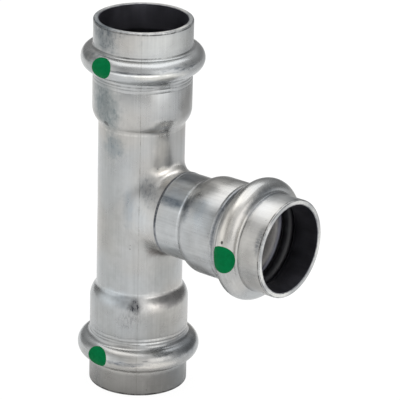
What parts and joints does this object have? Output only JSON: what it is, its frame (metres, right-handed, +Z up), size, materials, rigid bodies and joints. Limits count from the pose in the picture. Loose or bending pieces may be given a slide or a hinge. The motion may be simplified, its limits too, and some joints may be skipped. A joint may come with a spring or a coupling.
{
  "type": "press tee",
  "caption": "Equal press tee: a steel run tube with a seal bead and socket at each end and a welded branch socket, for pipes pushed in and crimped.",
  "frame": {"origin": "centre of the run's lower mouth, on the plane of its rim", "axes": "+Z up along the run, from the lower mouth to the upper one; +X along the branch, towards its mouth"},
  "size_m": [0.0636, 0.0313, 0.098],
  "materials": {
    "run_steel": "satin, drawn and pickled",
    "branch_steel": "satin, drawn and pickled",
    "weld_steel": "laser weld, heat tinted",
    "seal_rubber": "matt black",
    "dot_paint": "flat green"
  },
  "bodies": {
    "root": {"run_body": "run_steel", "branch_socket": "branch_steel", "branch_weld": "weld_steel", "bottom_seal": "seal_rubber", "top_seal": "seal_rubber", "branch_seal": "seal_rubber", "bottom_dot": "dot_paint", "top_dot": "dot_paint", "branch_dot": "dot_paint"}
  },
  "joints": []
}
